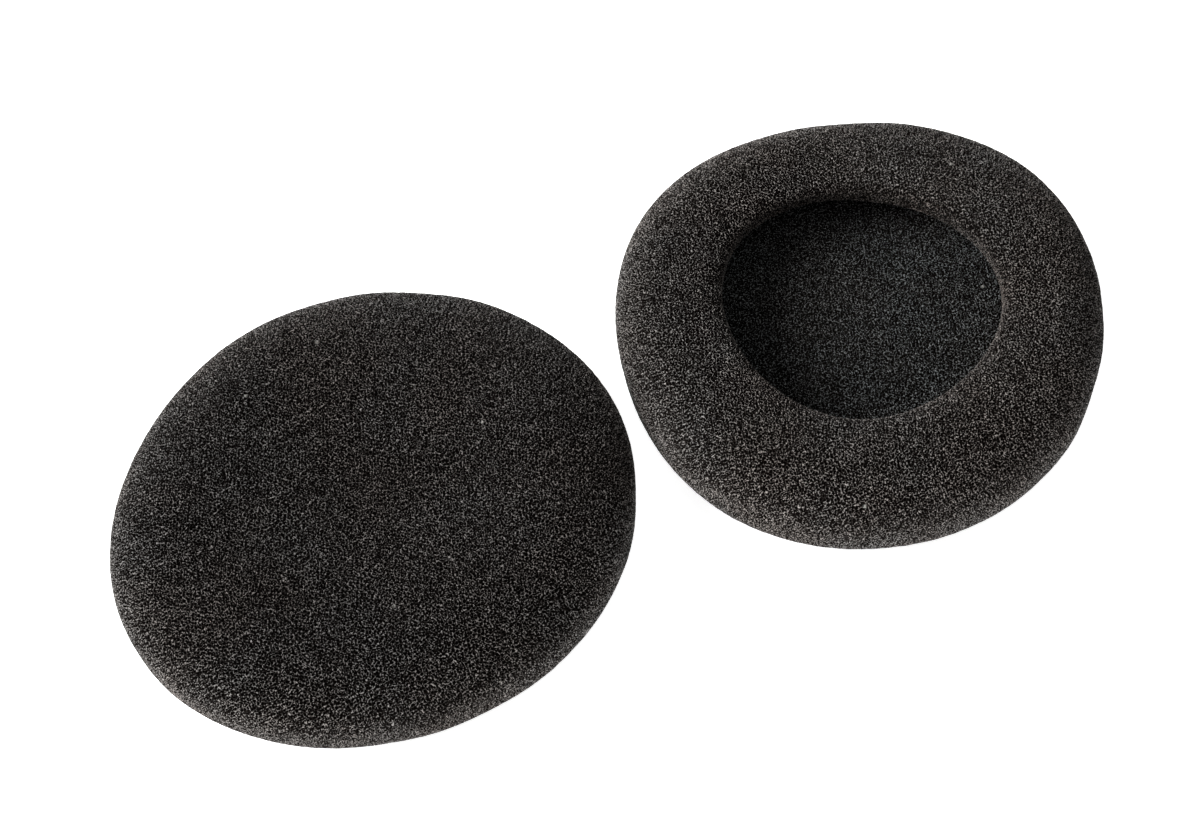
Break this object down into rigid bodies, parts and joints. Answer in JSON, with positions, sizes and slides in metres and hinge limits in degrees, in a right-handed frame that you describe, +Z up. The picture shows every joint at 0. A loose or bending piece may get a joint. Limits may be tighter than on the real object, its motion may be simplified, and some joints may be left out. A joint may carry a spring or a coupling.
{
  "type": "slip-on foam ear pads",
  "caption": "Loose round foam ear pads for an on-ear headset, each with a pocket that slips over the earpiece; left pad lies face up, right pad mouth up.",
  "frame": {"origin": "point on the table midway between the two pads' centres", "axes": "+X from the left pad's side to the right pad's side, +Y towards the far side of the table, +Z up"},
  "size_m": [0.1202, 0.0804, 0.014],
  "materials": {
    "foam": "matt open-cell foam, charcoal black"
  },
  "bodies": {
    "left_pad": {"left_ear_pad": "foam"},
    "right_pad": {"right_ear_pad": "foam"}
  },
  "joints": [
    {"name": "right_pad_lift", "type": "slide", "parent": "left_pad", "child": "right_pad", "axis": [0, 0, 1], "range_m": [0, 0.04]}
  ]
}
